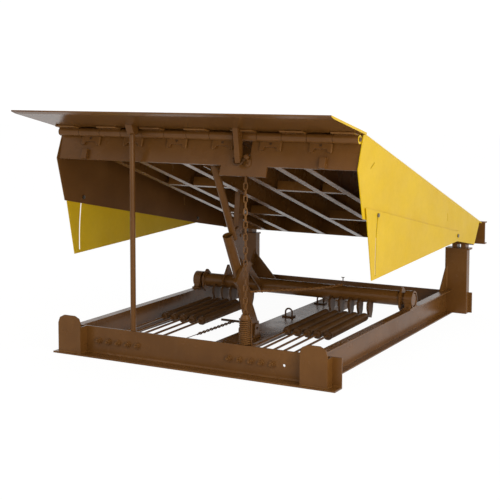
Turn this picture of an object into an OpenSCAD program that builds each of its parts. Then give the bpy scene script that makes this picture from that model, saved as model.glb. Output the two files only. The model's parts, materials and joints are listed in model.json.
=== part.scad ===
// Mechanical dock leveler, raised on its service strut.
// Millimetres, +Z up, +Y from the lip to the rear hinge, origin on the floor under the front angle.

/* [Part] */
// Which piece to draw

/* [Front angle and lip keepers] */
// Length of the front angle
angle_len = 1960; // [1900:5:2000]
// Distance from the centre line to the left end of the front angle
angle_left = 967; // [945:1:980]
// Height of the front angle's upright leg
angle_h = 178; // [165:1:190]
// Depth of the front angle's floor flange
angle_flange = 102; // [90:1:120]
// Thickness of the front angle
angle_t = 10; // [8:0.5:13]
// Centre of each lip keeper from the centre line
keeper_x = 852; // [845:1:858]
// Width of a lip keeper
keeper_w = 172; // [150:1:180]
// Height of a lip keeper at its top
keeper_h = 247; // [215:1:260]
// Height of a lip keeper at its shoulders
keeper_shoulder_h = 196; // [180:1:205]
// Width of the flat top of a lip keeper
keeper_top_w = 80; // [60:1:110]
// Thickness of the lip keeper plates
keeper_t = 10; // [6:0.5:12]
// Gap from the front edge of the flange to the keeper's front plate
keeper_setback = 18; // [10:1:30]

/* [Side channels and rear posts] */
// Inner face of the side channels from the centre line
channel_in = 805; // [800:1:812]
// Width of the side channel flanges
channel_w = 58; // [50:1:64]
// Height of the side channels
channel_h = 178; // [170:1:185]
// Web and flange thickness of the side channels
channel_t = 8; // [6:0.5:10]
// Front face of the rear posts from the origin
post_front = 2414; // [2390:1:2440]
// Inner edge of the rear posts from the centre line
post_in = 800; // [795:1:812]
// Width of a rear post
post_w = 166; // [150:1:176]
// Depth of a rear post
post_d = 65; // [55:1:75]
// Plate thickness of the rear posts
post_t = 10; // [8:0.5:12]
// Height of the rear posts without their caps
post_h = 478; // [465:1:488]
// Thickness of the post caps
cap_t = 12; // [8:0.5:16]
// Overhang of the post caps on the outside
cap_over = 14; // [8:1:20]
// Height of the post gussets above the side channels
gusset_h = 178; // [150:1:200]
// Length of the post gussets along the side channels
gusset_l = 150; // [120:1:190]
// Height of the rear angle
rear_angle_h = 152; // [140:1:165]
// Length of the rear angle
rear_angle_len = 1976; // [1950:1:2000]
// Floor flange of the rear angle
rear_flange = 74; // [60:1:90]
// Length of that flange, which stops short of the angle's ends
rear_flange_len = 1700; // [1600:1:1760]

/* [Rear hinge] */
// Underside of the rear hinge beam
beam_z = 519; // [514:1:526]
// Height of the rear hinge beam
beam_h = 166; // [160:1:172]
// Flange width of the rear hinge beam
beam_flange = 50; // [40:1:60]
// Plate thickness of the rear hinge beam
beam_t = 9; // [7:0.5:12]
// Length of the rear hinge beam
beam_len = 2136; // [2125:1:2150]
// Width of each stub that carries the rear hinge beam
stub_w = 36; // [28:1:44]
// Pin diameter of the rear hinge
rear_pin_d = 25; // [20:1:28]
// Height of the rear hinge pin above the floor
rear_pin_z = 636; // [625:1:642]

/* [Centre beam] */
// Width of the centre beam
centre_w = 236; // [200:1:260]
// Height of the centre beam
centre_h = 45; // [40:1:55]
// Plate thickness of the centre beam
centre_t = 8; // [6:0.5:10]
// Inside diameter of the lifting rings
ring_d = 40; // [34:1:48]
// Bar diameter of the lifting rings
ring_bar = 12; // [8:1:14]

/* [Torque tube and springs] */
// Height of the torque tube's centre line
tube_z = 239; // [237:1:244]
// Distance of the torque tube from the origin
tube_y = 1579; // [1560:1:1600]
// Outside diameter of the torque tube
tube_d = 102; // [96:1:108]
// Length of the bare neck between the torque tube's end plates and its bearings
neck_l = 24; // [18:1:30]
// Outside diameter of the torque tube's journals
journal_d = 84; // [78:1:90]
// Outside diameter of the torque tube's bearing hubs
hub_d = 119; // [115:1:121]
// Wall of the torque tube
tube_wall = 8; // [6:0.5:10]
// Thickness of the plates on the torque tube
fin_t = 12; // [8:0.5:16]
// Springs from the centre line
spring_x = [-675, -602, -530, -457, -383, 266, 338, 412, 480, 554];
// Outside diameter of a main spring
spring_d = 58; // [50:1:62]
// Front end of the springs from the origin
spring_front = 839; // [820:1:860]
// Height of the springs' hooks at the rear
spring_rear_z = 113; // [108:1:118]
// Height of the spring rods in the front angle
rod_z = 90; // [84:1:96]
// Diameter of the spring rods
rod_d = 14; // [12:1:18]
// Across the flats of the spring rod nuts
nut_af = 30; // [24:1:34]
// Diameter of the spring rod washers
washer_d = 46; // [40:1:52]
// Diameter of the spare rod hole in the front angle
spare_d = 18; // [14:1:22]
// Thickness of the spring levers
lever_t = 16; // [12:1:20]

/* [Deck] */
// Slope of the raised deck in degrees
slope = 18.23; // [17.9:0.05:18.4]
// Rear hinge pin behind the deck plate's rear edge
hinge_back = 8.3; // [6:0.1:12]
// Rear hinge pin below the deck's top
hinge_deep = 49; // [46:0.5:52]
// Length of the deck plate
deck_len = 2412; // [2400:1:2420]
// Half width of the deck over its side plates
deck_half = 1050; // [1042:1:1052]
// Thickness of the deck plate
deck_t = 10; // [8:0.5:12]
// Thickness of the side plates
side_t = 6; // [4:0.5:8]
// Depth of the header plate
header_h = 220; // [210:1:230]
// Thickness of the header plate
header_t = 12; // [8:0.5:14]
// Extra depth of the tab on the header plate
tab_h = 62; // [50:1:75]
// Depth of the deck joists below the deck plate
joist_h = 184; // [175:1:190]
// Width of a deck joist
joist_w = 50; // [40:1:56]
// Thickness of a deck joist
joist_t = 6; // [5:0.5:8]
// Joist centre lines from the middle of the deck
joist_x = [158, 479, 676];
// Places of the cross bars behind the header
bar_s = [735, 1610];
// Rear end plate behind the front edge
rear_plate_s = 2292; // [2280:1:2300]

/* [Lip] */
// Rise of the lip above level in degrees
lip_rise = 12.7; // [12.4:0.05:13]
// Length of the lip
lip_len = 511; // [490:1:530]
// Half width of the lip
lip_half = 1071; // [1060:1:1080]
// Thickness of the lip plate
lip_t = 14; // [11:0.5:16]
// Gap between the lip plate and the deck plate
lip_gap = 6; // [4:0.5:8]
// Diameter of the lip hinge barrels
barrel_d = 54; // [48:1:56]
// Diameter of the lip hinge pin
pin_d = 25; // [20:1:28]
// Number of barrels in the lip hinge
barrel_n = 13; // [9:2:15]
// Gap between neighbouring barrels
barrel_gap = 3; // [2:0.5:5]
// Centre line of the lip lifter arm
arm_x = 297; // [290:1:302]
// Width of the lip lifter arm
arm_w = 34; // [28:1:38]

/* [Toe guards] */
// Plate thickness of the toe guards
guard_t = 5; // [4:0.5:6]
// Gap between a toe guard and its side plate
guard_gap = 5.5; // [5.2:0.1:6.5]
// Pivot of the toe guards from the origin
pivot_y = 1890; // [1880:1:1900]
// Height of the toe guards' pivot
pivot_z = 656; // [652:1:662]
// Guide bolt of the toe guards from the origin
guide_y = 392; // [385:1:400]
// Height of the guide bolt
guide_z = 954; // [948:1:960]
// Swing of the toe guards in degrees
guard_swing = 13; // [11:0.5:13]
// Shank diameter of the toe guard bolts
bolt_d = 12; // [10:1:14]
// Clearance round the toe guards' guide bolts
bolt_clear = 1.5; // [1:0.25:2]
// Running clearance at the toe guards' pivots and washers
pin_clear = 0.3; // [0.2:0.05:0.5]

/* [Service strut and lift linkage] */
// Diameter of the service strut
strut_d = 34; // [30:1:36]
// Inner face of the pair of lift plates from the centre line
lift_in = 34; // [34:0.5:38]
// Thickness of a lift plate
lift_t = 9; // [7:0.5:10]
// Gap between the two lift plates
lift_gap = 2; // [1:0.5:4]
// Thickness of the lift arm and of its cheek plate
link_t = 12; // [10:0.5:14]
// Lean of the hold down from the vertical in degrees
hold_lean = 28; // [27.6:0.1:28.4]
// Outside diameter of the hold down tube
hold_d = 48; // [44:1:52]
// Outside diameter of the hold down sleeve
sleeve_d = 66; // [62:1:70]
// Wall of the hold down sleeve
sleeve_wall = 6; // [5:0.5:7]
// Distance of the lip chain from the centre line
chain_x = 341; // [335:1:348]
// Distance of the lip chain behind the origin
chain_y = 109; // [105:1:114]
// Bar diameter of the lip chain
chain_bar = 9; // [7:0.5:11]
// Outside diameter of the snubber spring
snub_d = 76; // [70:1:82]
// Wire diameter of the snubber spring
snub_wire = 9; // [7:0.5:10]
// Coils of the snubber spring
snub_n = 12; // [8:1:14]
// Underside of the snubber spring
snub_z = 166; // [160:1:172]
// Height of the snubber spring
snub_h = 152; // [140:1:165]

/* [Hidden] */
$fn = 64;
brown = [0.35, 0.24, 0.16];
dark = [0.24, 0.17, 0.11];
yellow = [0.88, 0.74, 0.22];
steel = [0.45, 0.45, 0.47];
cut = 1;
flange_front = -angle_flange / 2;
leg_rear = angle_flange / 2;
leg_front = leg_rear - angle_t;
keeper_front = flange_front + keeper_setback;
channel_out = channel_in + channel_w;
post_rear = post_front + post_d;
post_mid = post_in + post_w / 2;
cap_top = post_h + cap_t;
beam_rear = post_rear + angle_t + rear_flange;
beam_front = beam_rear - beam_flange;
stub_y = post_front + 20;
rear_pin_y = beam_front - 34;
deck_y = rear_pin_y - (deck_len + hinge_back) * cos(slope) + hinge_deep * sin(slope);
deck_z = rear_pin_z + (deck_len + hinge_back) * sin(slope) + hinge_deep * cos(slope);
tube_half = channel_in - neck_l - fin_t;
lever_gap = 33;
spring_rear = tube_y - 72 - lever_gap;
spring_tilt = atan2(spring_rear_z - rod_z, spring_rear - leg_front);
plug_l = 26;
spring_front_z = rod_z + (spring_front - leg_front) * tan(spring_tilt);
side_in = deck_half - side_t;
guard_in = deck_half + guard_gap;
guard_out = guard_in + guard_t;
guide_r = sqrt(pow(pivot_y - guide_y, 2) + pow(guide_z - pivot_z, 2));
guide_a = atan2(guide_z - pivot_z, pivot_y - guide_y);
slot_end_y = pivot_y - guide_r * cos(guide_a - guard_swing);
slot_end_z = pivot_z + guide_r * sin(guide_a - guard_swing);
hinge_s = -barrel_d / 2 - 0.3;
lip_clear = 3;
hinge_n = (hinge_s * sin(slope - lip_rise) - lip_t - barrel_d / 2 - lip_clear) / cos(slope - lip_rise);
hinge_y = deck_y + hinge_s * cos(slope) + hinge_n * sin(slope);
hinge_z = deck_z - hinge_s * sin(slope) + hinge_n * cos(slope);
barrel_w = 2 * side_in / barrel_n;
strut_x = -side_in + 3.82 * barrel_w;
bar_depth = joist_h;
strut_top = deck_z - 37.7;
hold_top_y = deck_pt(183.2, -158.3)[0];
hold_top_z = deck_pt(183.2, -158.3)[1];
hold_end_z = 720;
hold_end_y = hold_top_y + (hold_top_z - hold_end_z) * tan(hold_lean);
sleeve_off = (hold_d + sleeve_d) / 2 + 6.7;
hold_pin_z = 470;
hold_pin_y = hold_top_y + (hold_top_z - hold_pin_z) * tan(hold_lean) - sleeve_off / cos(hold_lean);
mouth_h = 320;
lift_base_y = 785;
lift_base_z = 108;
lift_pin_d = 16;
lift_out = lift_in + 2 * lift_t + lift_gap;
shaft_y = 850;
shaft_z = 122;
link_x = -300;
link_y = 1198;
link_z = 529;
link_lean = 48.3;
strap_pin_y = 1196;
strap_pin_z = 652;
strap_pin_d = 24;
strap_lean = 7;
strap_t = 40;
strap_w = 64;
leaf_t = 12;
leaf_len = 72;
hinge_l = hinge_s * cos(slope - lip_rise) + hinge_n * sin(slope - lip_rise);

// The [y, z] of a point s down the deck from its front edge and n above its top.
function deck_pt(s, n) = [deck_y + s * cos(slope) + n * sin(slope), deck_z - s * sin(slope) + n * cos(slope)];

// A plate in a plane across the part: points are [y, z], from x to x + t.
module yz_plate(x, t, pts) {
    translate([x, 0, 0])
        rotate([90, 0, 90])
            linear_extrude(t)
                polygon(pts);
}

// A plate facing the front: points are [x, z], from y to y + t.
module xz_plate(y, t, pts) {
    translate([0, y + t, 0])
        rotate([90, 0, 0])
            linear_extrude(t)
                polygon(pts);
}

// A round bar across the part.
module x_rod(x0, x1, y, z, d) {
    translate([x0, y, z])
        rotate([0, 90, 0])
            cylinder(d = d, h = x1 - x0);
}

// A round bar in a plane across the part, from [y0, z0] towards [y1, z1].
module yz_rod(x, y0, z0, y1, z1, d) {
    translate([x, y0, z0])
        rotate([atan2(y0 - y1, z1 - z0), 0, 0])
            cylinder(d = d, h = norm([y1 - y0, z1 - z0]));
}

// The deck's own frame: y runs down the deck from its front edge, z stands on it.
module on_deck() {
    translate([0, deck_y, deck_z])
        rotate([-slope, 0, 0])
            children();
}

// The lip's own frame: -y runs out along the lip, z stands on it.
module on_lip() {
    translate([0, deck_y, deck_z])
        rotate([-lip_rise, 0, 0])
            children();
}

// The left-hand copy of a right-hand piece.
module left() {
    mirror([1, 0, 0])
        children();
}

// A right-hand piece and its left-hand copy.
module both() {
    children();
    left()
        children();
}

module front_angle() {
    color(brown)
        difference() {
            translate([-angle_left, 0, 0])
                rotate([90, 0, 90])
                    linear_extrude(angle_len)
                        polygon([[flange_front, 0], [leg_rear, 0], [leg_rear, angle_h], [leg_front, angle_h],
                            [leg_front, angle_t + 8], [leg_front - 8, angle_t], [flange_front, angle_t]]);
            for (x = spring_x)
                translate([x, leg_front - cut, rod_z])
                    rotate([-90, 0, 0])
                        cylinder(d = rod_d + 2, h = angle_t + 2 * cut);
            translate([631, leg_front - cut, rod_z])
                rotate([-90, 0, 0])
                    cylinder(d = spare_d, h = angle_t + 2 * cut);
        }
}

module keeper() {
    half = keeper_w / 2;
    top_half = keeper_top_w / 2;
    knee_x = (half + top_half) / 2 + 10;
    knee_z = keeper_shoulder_h + (keeper_h - keeper_shoulder_h) * 0.68;
    color(brown)
        translate([keeper_x, 0, 0])
            union() {
                xz_plate(keeper_front, keeper_t, [[-half, angle_t], [half, angle_t],
                    [half, keeper_shoulder_h], [knee_x, knee_z], [top_half, keeper_h], [-top_half, keeper_h],
                    [-knee_x, knee_z], [-half, keeper_shoulder_h]]);
                for (x = [-half, half - keeper_t])
                    translate([x, keeper_front + keeper_t, angle_t + 8])
                        cube([keeper_t, leg_front - keeper_front - keeper_t, angle_h - angle_t - 8]);
                for (x = [-half, half - keeper_t])
                    translate([x, keeper_front + keeper_t, angle_t])
                        cube([keeper_t, leg_front - 8 - keeper_front - keeper_t, 8]);
            }
}

module lip_keepers() {
    both()
        keeper();
}

module side_channel() {
    color(brown)
        translate([channel_in, leg_rear, 0])
            difference() {
                cube([channel_w, post_front - leg_rear, channel_h]);
                translate([channel_t, -cut, channel_t])
                    cube([channel_w, post_front - leg_rear + 2 * cut, channel_h - 2 * channel_t]);
            }
}

module side_channels() {
    both()
        side_channel();
}

module rear_post() {
    color(brown)
        union() {
            translate([post_in, post_front, 0])
                difference() {
                    cube([post_w, post_d, post_h]);
                    translate([post_t, post_t, -cut])
                        cube([post_w - 2 * post_t, post_d, post_h + 2 * cut]);
                }
            translate([post_in, post_front, post_h])
                cube([post_w + cap_over, post_d + 20, cap_t]);
            for (x = [post_in + 46, post_in + 112])
                translate([x, stub_y, cap_top])
                    cube([stub_w, beam_front - stub_y, beam_z + 0.6 * beam_h - cap_top]);
        }
}

module rear_posts() {
    both()
        rear_post();
}

// A triangular plate stands on each side channel, and the left post has a flat brace to the rear angle.
module post_gussets() {
    color(brown) {
        for (side = [0, 1])
            mirror([side, 0, 0])
                yz_plate(channel_in, post_t, [[post_front - gusset_l, channel_h],
                    [post_front, channel_h], [post_front, channel_h + gusset_h]]);
        left()
            xz_plate(post_front, post_t, [[post_in - 270, 33], [post_in, 330], [post_in, 33]]);
    }
}

module rear_angle() {
    color(brown)
        translate([-rear_angle_len / 2, post_rear, 0])
            union() {
                cube([rear_angle_len, angle_t, rear_angle_h]);
                translate([(rear_angle_len - rear_flange_len) / 2, angle_t, 0])
                    cube([rear_flange_len, rear_flange, angle_t]);
            }
}

module rear_beam() {
    lug_x = [-790, -560, -220, 160, 500, 770];
    color(brown)
        difference() {
            union() {
                translate([-beam_len / 2, beam_front, beam_z])
                    difference() {
                        cube([beam_len, beam_flange, beam_h]);
                        translate([-cut, beam_t, beam_t])
                            cube([beam_len + 2 * cut, beam_flange, beam_h - 2 * beam_t]);
                    }
                for (x = lug_x)
                    yz_plate(x, 20, [[beam_front, rear_pin_z + 22], [rear_pin_y, rear_pin_z + 22],
                        [rear_pin_y - 22, rear_pin_z], [rear_pin_y - 12, rear_pin_z - 20],
                        [beam_front, rear_pin_z - 60]]);
            }
            x_rod(-beam_len / 2, beam_len / 2, rear_pin_y, rear_pin_z, rear_pin_d + 0.6);
        }
}

module rear_hinge_pin() {
    color(dark)
        x_rod(-side_in + 40, side_in - 40, rear_pin_y, rear_pin_z, rear_pin_d);
}

module centre_beam() {
    len = post_rear - leg_rear;
    color(brown)
        translate([-centre_w / 2, leg_rear, 0])
            difference() {
                cube([centre_w, len, centre_h]);
                translate([centre_t, -cut, -cut])
                    cube([centre_w - 2 * centre_t, len + 2 * cut, centre_h - centre_t + cut]);
            }
}

module lifting_rings() {
    loop_r = ring_d / 2 + ring_bar / 2;
    stem = loop_r + 3;
    color(dark)
        for (y = [1486, 2030])
            translate([-45, y, centre_h])
                union() {
                    translate([-42, -26, 0])
                        cube([84, 52, 10]);
                    for (x = [-loop_r, loop_r])
                        translate([x, 0, 5])
                            cylinder(d = ring_bar, h = stem);
                    translate([0, 0, 5 + stem])
                        rotate([90, 0, 0])
                            rotate_extrude(angle = 180)
                                translate([loop_r, 0])
                                    circle(d = ring_bar);
                }
}

module torque_tube() {
    color(brown)
        union() {
            difference() {
                x_rod(-tube_half, tube_half, tube_y, tube_z, tube_d);
                x_rod(-tube_half - cut, tube_half + cut, tube_y, tube_z, tube_d - 2 * tube_wall);
            }
            for (side = [0, 1])
                mirror([side, 0, 0]) {
                    yz_plate(tube_half, fin_t, [[tube_y - 62, tube_z - 50], [tube_y - 30, tube_z - 82],
                        [tube_y + 30, tube_z - 82], [tube_y + 62, tube_z - 50], [tube_y + 62, tube_z + 34],
                        [tube_y + 8, tube_z + 80], [tube_y - 8, tube_z + 80], [tube_y - 62, tube_z + 34]]);
                    x_rod(tube_half + fin_t - cut, channel_out - 4, tube_y, tube_z, journal_d);
                }
            difference() {
                yz_plate(-608, fin_t, [[tube_y - 83, tube_z - 14], [tube_y - 83, tube_z + 2],
                    [tube_y + 10, tube_z + 124], [tube_y + 24, tube_z + 124], [tube_y + 71, tube_z + 50],
                    [tube_y + 71, tube_z + 30], [tube_y, tube_z - 14]]);
                x_rod(-620, -590, tube_y, tube_z, tube_d - cut);
            }
        }
}

module tube_bearings() {
    color(brown)
        for (side = [0, 1])
            mirror([side, 0, 0])
                difference() {
                    union() {
                        x_rod(channel_in, channel_out, tube_y, tube_z, hub_d);
                        translate([channel_in, tube_y - 74, channel_h])
                            cube([channel_w, 148, 10]);
                        translate([channel_in + 8, tube_y - hub_d / 2, channel_h])
                            cube([channel_w - 16, hub_d, tube_z - channel_h - 20]);
                    }
                    x_rod(channel_in - cut, channel_out + cut, tube_y, tube_z, journal_d + 0.6);
                    x_rod(channel_out - 14, channel_out + cut, tube_y, tube_z, journal_d + 14);
                }
}

module spring_levers() {
    tip_y = spring_rear + lever_gap;
    color(dark)
        for (x = spring_x)
            difference() {
                yz_plate(x - lever_t / 2, lever_t, [[tube_y - 40, tube_z - 10], [tip_y - 12, tube_z - 44],
                    [tip_y - 14, tube_z - 77], [tip_y, spring_rear_z + 14], [tip_y, spring_rear_z - 14],
                    [tip_y + 46, spring_rear_z - 24], [tube_y - 4, tube_z - 106], [tube_y + 6, tube_z - 40]]);
                x_rod(x - lever_t, x + lever_t, tube_y, tube_z, tube_d);
            }
}

module main_spring(x) {
    body = (spring_rear - spring_front) / cos(spring_tilt);
    color(dark)
        union() {
            translate([x, spring_front, spring_front_z])
                rotate([-90 + spring_tilt, 0, 0])
                    union() {
                        cylinder(d = spring_d, h = body - 24);
                        translate([0, 0, -8])
                            cylinder(d = spring_d + 2, h = 9);
                        translate([0, 0, -plug_l + 6])
                            cylinder(d = spring_d - 18, h = plug_l);
                        translate([0, 0, -plug_l])
                            cylinder(d = spring_d - 8, h = 8);
                        translate([0, 0, body - 26])
                            cylinder(d1 = spring_d - 4, d2 = 26, h = 22);
                    }
            translate([x, spring_rear - 30, spring_rear_z])
                rotate([-90, 0, 0])
                    cylinder(d = 18, h = 30 + lever_gap);
        }
}

module springs() {
    for (x = spring_x)
        main_spring(x);
}

// Each spring is drawn up by a rod, a nut and a washer on the front angle.
module spring_rods() {
    rod_l = 32 + (spring_front - leg_front) / cos(spring_tilt) - plug_l;
    color(dark)
        for (x = spring_x)
            translate([x, leg_front, rod_z])
                union() {
                    rotate([-90 + spring_tilt, 0, 0])
                        translate([0, 0, -32])
                            cylinder(d = rod_d, h = rod_l);
                    rotate([90, 0, 0])
                        cylinder(d = washer_d, h = 4);
                    rotate([90, 0, 0])
                        cylinder(d = nut_af / cos(30), h = 18, $fn = 6);
                }
}

module lift_plates() {
    outline = [[520, 452], [600, 530], [640, 560], [700, 566], [742, 540], [704, 508], [694, 480], [694, 392],
        [752, 340], [741, 282], [798, 186], [817, 152], [826, 100], [826, 62], [744, 62], [700, 110],
        [624, 261], [583, 380], [551, 425]];
    color(brown)
        for (x = [lift_in, lift_out - lift_t])
            difference() {
                yz_plate(x, lift_t, outline);
                x_rod(x - cut, x + lift_t + cut, lift_base_y, lift_base_z, lift_pin_d + 0.6);
            }
}

// An arm on the torque tube, with a cheek plate at its end, pushes the deck up through a strap.
module lift_link() {
    cheek_x = link_x + link_t;
    color(brown)
        difference() {
            union() {
                translate([link_x, link_y, link_z])
                    rotate([link_lean - 90, 0, 0])
                        translate([0, 0, -22])
                            cube([link_t, 490, 44]);
                yz_plate(cheek_x, link_t, [[1080, 652], [1086, 690], [1153, 720], [1190, 692], [1262, 560],
                    [1240, 522], [1160, 500]]);
                x_rod(cheek_x - strap_t - 8, cheek_x + link_t + 6, strap_pin_y, strap_pin_z, strap_pin_d);
            }
            x_rod(link_x - cut, link_x + link_t + cut, tube_y, tube_z, tube_d);
        }
}

module lift_strap() {
    x = link_x + link_t - strap_t;
    color(brown)
        difference() {
            union() {
                translate([x, strap_pin_y, strap_pin_z])
                    rotate([-strap_lean, 0, 0])
                        translate([0, -strap_w / 2, 0])
                            cube([strap_t, strap_w, 540]);
                x_rod(x, x + strap_t, strap_pin_y, strap_pin_z, strap_w);
            }
            x_rod(x - cut, x + strap_t + cut, strap_pin_y, strap_pin_z, strap_pin_d + 0.6);
            on_deck()
                translate([-deck_half, 0, -deck_t])
                    cube([2 * deck_half, deck_len, 400]);
        }
}

module lift_shaft() {
    color(dark) {
        x_rod(-239, lift_in - 14, shaft_y, shaft_z, lift_pin_d);
        x_rod(lift_in - 20, lift_out + 20, lift_base_y, lift_base_z, lift_pin_d);
    }
}

module lift_foot() {
    flank_z = shaft_z + lift_pin_d;
    near = lift_base_y + 41;
    color(brown)
        difference() {
            union() {
                for (flank = [[lift_in - 14, shaft_y + 40], [lift_out + 2, near]])
                    yz_plate(flank[0], 12, [[lift_base_y - 41, centre_h], [flank[1], centre_h],
                        [flank[1] - 14, flank_z], [lift_base_y - 27, flank_z]]);
                translate([lift_in - 44, lift_base_y - 60, centre_h])
                    cube([lift_out - lift_in + 60, 101, 10]);
            }
            x_rod(lift_in - 20, lift_out + 20, lift_base_y, lift_base_z, lift_pin_d + 0.6);
        }
}

module hold_down_tube() {
    color(brown)
        difference() {
            union() {
                yz_rod(0, hold_top_y, hold_top_z, hold_end_y, hold_end_z, hold_d);
                x_rod(-hold_d / 2 - 2, hold_d / 2 + 2, hold_top_y, hold_top_z, hold_d + 6);
            }
            x_rod(-hold_d, hold_d, hold_top_y, hold_top_z, 25);
        }
}

module hold_down_sleeve() {
    color(brown)
        translate([0, hold_pin_y, hold_pin_z])
            rotate([hold_lean, 0, 0])
                union() {
                    difference() {
                        cylinder(d = sleeve_d, h = mouth_h);
                        translate([0, 0, 60])
                            cylinder(d = sleeve_d - 2 * sleeve_wall, h = mouth_h);
                    }
                    x_rod(-sleeve_d / 2 - 6, lift_in, 0, 0, 30);
                    difference() {
                        translate([-6, sleeve_d / 2 - 3, mouth_h - 75])
                            cube([12, sleeve_off - sleeve_d / 2, 70]);
                        translate([0, sleeve_off, 0])
                            cylinder(d = hold_d, h = mouth_h);
                    }
                }
}

module hold_down_bracket() {
    color(brown)
        difference() {
            on_deck()
                for (x = [-hold_d / 2 - 16, hold_d / 2 + 4])
                    translate([x, 138, -deck_t - 190])
                        cube([12, 90, 190]);
            x_rod(-hold_d, hold_d, hold_top_y, hold_top_z, 24.6);
        }
    color(dark)
        x_rod(-hold_d / 2 - 20, hold_d / 2 + 20, hold_top_y, hold_top_z, 24);
}

module snubber_spring() {
    pitch = snub_h / snub_n;
    color(dark)
        translate([chain_x, chain_y, snub_z])
            difference() {
                cylinder(d = snub_d, h = snub_h);
                translate([0, 0, -cut])
                    cylinder(d = snub_d - 2 * snub_wire, h = snub_h + 2 * cut);
                for (i = [1:snub_n - 1])
                    translate([0, 0, i * pitch])
                        rotate_extrude()
                            translate([snub_d / 2, 0])
                                circle(d = pitch - snub_wire + 2, $fn = 24);
            }
}

// A shelf on the front angle carries the snubber spring between two flat bars under a cap.
module snubber_bracket() {
    color(brown) {
        difference() {
            translate([chain_x - 56, leg_rear, snub_z - 10])
                cube([112, chain_y - leg_rear + 50, 10]);
            translate([chain_x, chain_y, snub_z - 10 - cut])
                cylinder(d = 2.6 * chain_bar, h = 12);
        }
        for (bar = [[snub_d / 2 + 1, snub_h], [-snub_d / 2 - 6, snub_h - 56]])
            translate([chain_x + bar[0], chain_y - 4, snub_z])
                cube([5, 8, bar[1]]);
        translate([chain_x, chain_y, snub_z + snub_h])
            difference() {
                union() {
                    cylinder(d = snub_d, h = 6);
                    translate([0, 0, 6])
                        cylinder(d1 = snub_d - 10, d2 = 44, h = 24);
                }
                translate([0, 0, -cut])
                    cylinder(d = 2.6 * chain_bar, h = 60);
            }
    }
}

module lip_chain() {
    color(dark)
        difference() {
            translate([chain_x, chain_y, snub_z - 30])
                union() {
                    cylinder(d = 2.2 * chain_bar, h = deck_z - 177.7 - snub_z);
                    cylinder(d = 5 * chain_bar, h = 20);
                }
            on_deck()
                translate([0, -300, -header_h - tab_h])
                    cube([deck_half, 600, header_h]);
        }
}

module deck_plate() {
    color(brown)
        on_deck()
            translate([-deck_half, 0, -deck_t])
                cube([2 * deck_half, deck_len, deck_t]);
}

// The header closes the front of the deck; a slot lets the lifter arm swing through it.
module header_plate() {
    tab_x0 = arm_x - 134;
    tab_x1 = arm_x + 176;
    color(brown)
        on_deck()
            union() {
                difference() {
                    translate([-side_in, 0, -header_h])
                        cube([2 * side_in, header_t, header_h - deck_t]);
                    translate([arm_x - arm_w / 2 - 8, -cut, -166])
                        cube([arm_w + 46, header_t + 2 * cut, 104]);
                }
                translate([tab_x0, 0, -header_h - tab_h])
                    cube([tab_x1 - tab_x0, header_t, tab_h]);
                for (x = [-850, 810])
                    translate([x, -24, -header_h + 2])
                        cube([38, 24, 64]);
            }
}

side_outline = [deck_pt(0, -deck_t), deck_pt(-12.4, -header_h), deck_pt(151.5, -464.6),
    deck_pt(1863.3, -250.4), deck_pt(2294.3, -190.5), deck_pt(2359.7, -deck_t)];

module side_plate() {
    color(yellow)
        difference() {
            yz_plate(side_in, side_t, side_outline);
            on_deck()
                translate([0, -200, -deck_t])
                    cube([2 * deck_half, 3000, 400]);
            x_rod(side_in - cut, deck_half + cut, pivot_y, pivot_z, bolt_d + 0.6);
            x_rod(side_in - cut, deck_half + cut, guide_y, guide_z, bolt_d + 0.6);
            translate([side_in - cut, 300, 1228])
                rotate([28, 0, 0])
                    cube([side_t + 2 * cut, 66, 7]);
            translate([side_in - cut, 1692, 780])
                cube([side_t + 2 * cut, 7, 56]);
        }
}

module side_plates() {
    both()
        side_plate();
}

module deck_joists() {
    color(brown)
        on_deck()
            for (side = [-1, 1], jx = joist_x)
                translate([side * jx - joist_w / 2, header_t, -deck_t - joist_h])
                    difference() {
                        cube([joist_w, rear_plate_s - header_t, joist_h]);
                        translate([joist_t, -cut, joist_t])
                            cube([joist_w, rear_plate_s, joist_h - 2 * joist_t]);
                    }
}

module deck_cross_bars() {
    spans = [[-joist_x[2], -joist_x[1]], [-joist_x[1], -joist_x[0]], [joist_x[0], joist_x[1]],
        [joist_x[1], joist_x[2]]];
    color(brown)
        on_deck()
            for (s = bar_s, span = spans)
                translate([span[0] + joist_w / 2, s, -deck_t - bar_depth])
                    cube([span[1] - span[0] - joist_w, 40, 60]);
}

module rear_plate() {
    lug_x = [-766, -536, -196, 184, 524, 794];
    color(brown)
        difference() {
            union() {
                on_deck()
                    translate([-side_in, rear_plate_s, -deck_t - joist_h])
                        cube([2 * side_in, 12, joist_h]);
                for (x = lug_x)
                    yz_plate(x, 20, [deck_pt(rear_plate_s + 6, -118), [rear_pin_y + 10, rear_pin_z - 22],
                        [rear_pin_y + 22, rear_pin_z], [rear_pin_y + 4, rear_pin_z + 24],
                        deck_pt(rear_plate_s + 6, -42)]);
            }
            x_rod(-side_in, side_in, rear_pin_y, rear_pin_z, rear_pin_d + 0.6);
        }
}

// One hinge barrel with its leaf; the leaf lies on the header or under the lip.
module barrel(i) {
    x_rod(-side_in + i * barrel_w + barrel_gap / 2, -side_in + (i + 1) * barrel_w - barrel_gap / 2,
        hinge_y, hinge_z, barrel_d);
}

// The leaf of a deck barrel lies on the header and has a short leg at each end.
module deck_leaf(x, w) {
    top = hinge_n + 3;
    low = hinge_n - barrel_d / 2 - 30;
    leg = low - 20;
    xz_plate(-16, 16, [[x, top], [x, leg], [x + 18, leg], [x + 26, low], [x + w - 26, low], [x + w - 18, leg],
        [x + w, leg], [x + w, top]]);
}

module deck_barrels() {
    color(brown)
        difference() {
            union()
                for (i = [1:2:barrel_n - 2]) {
                    barrel(i);
                    on_deck()
                        deck_leaf(-side_in + i * barrel_w + barrel_gap / 2 + 14, barrel_w - barrel_gap - 28);
                }
            x_rod(-side_in, side_in, hinge_y, hinge_z, pin_d + 0.6);
        }
}

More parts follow.
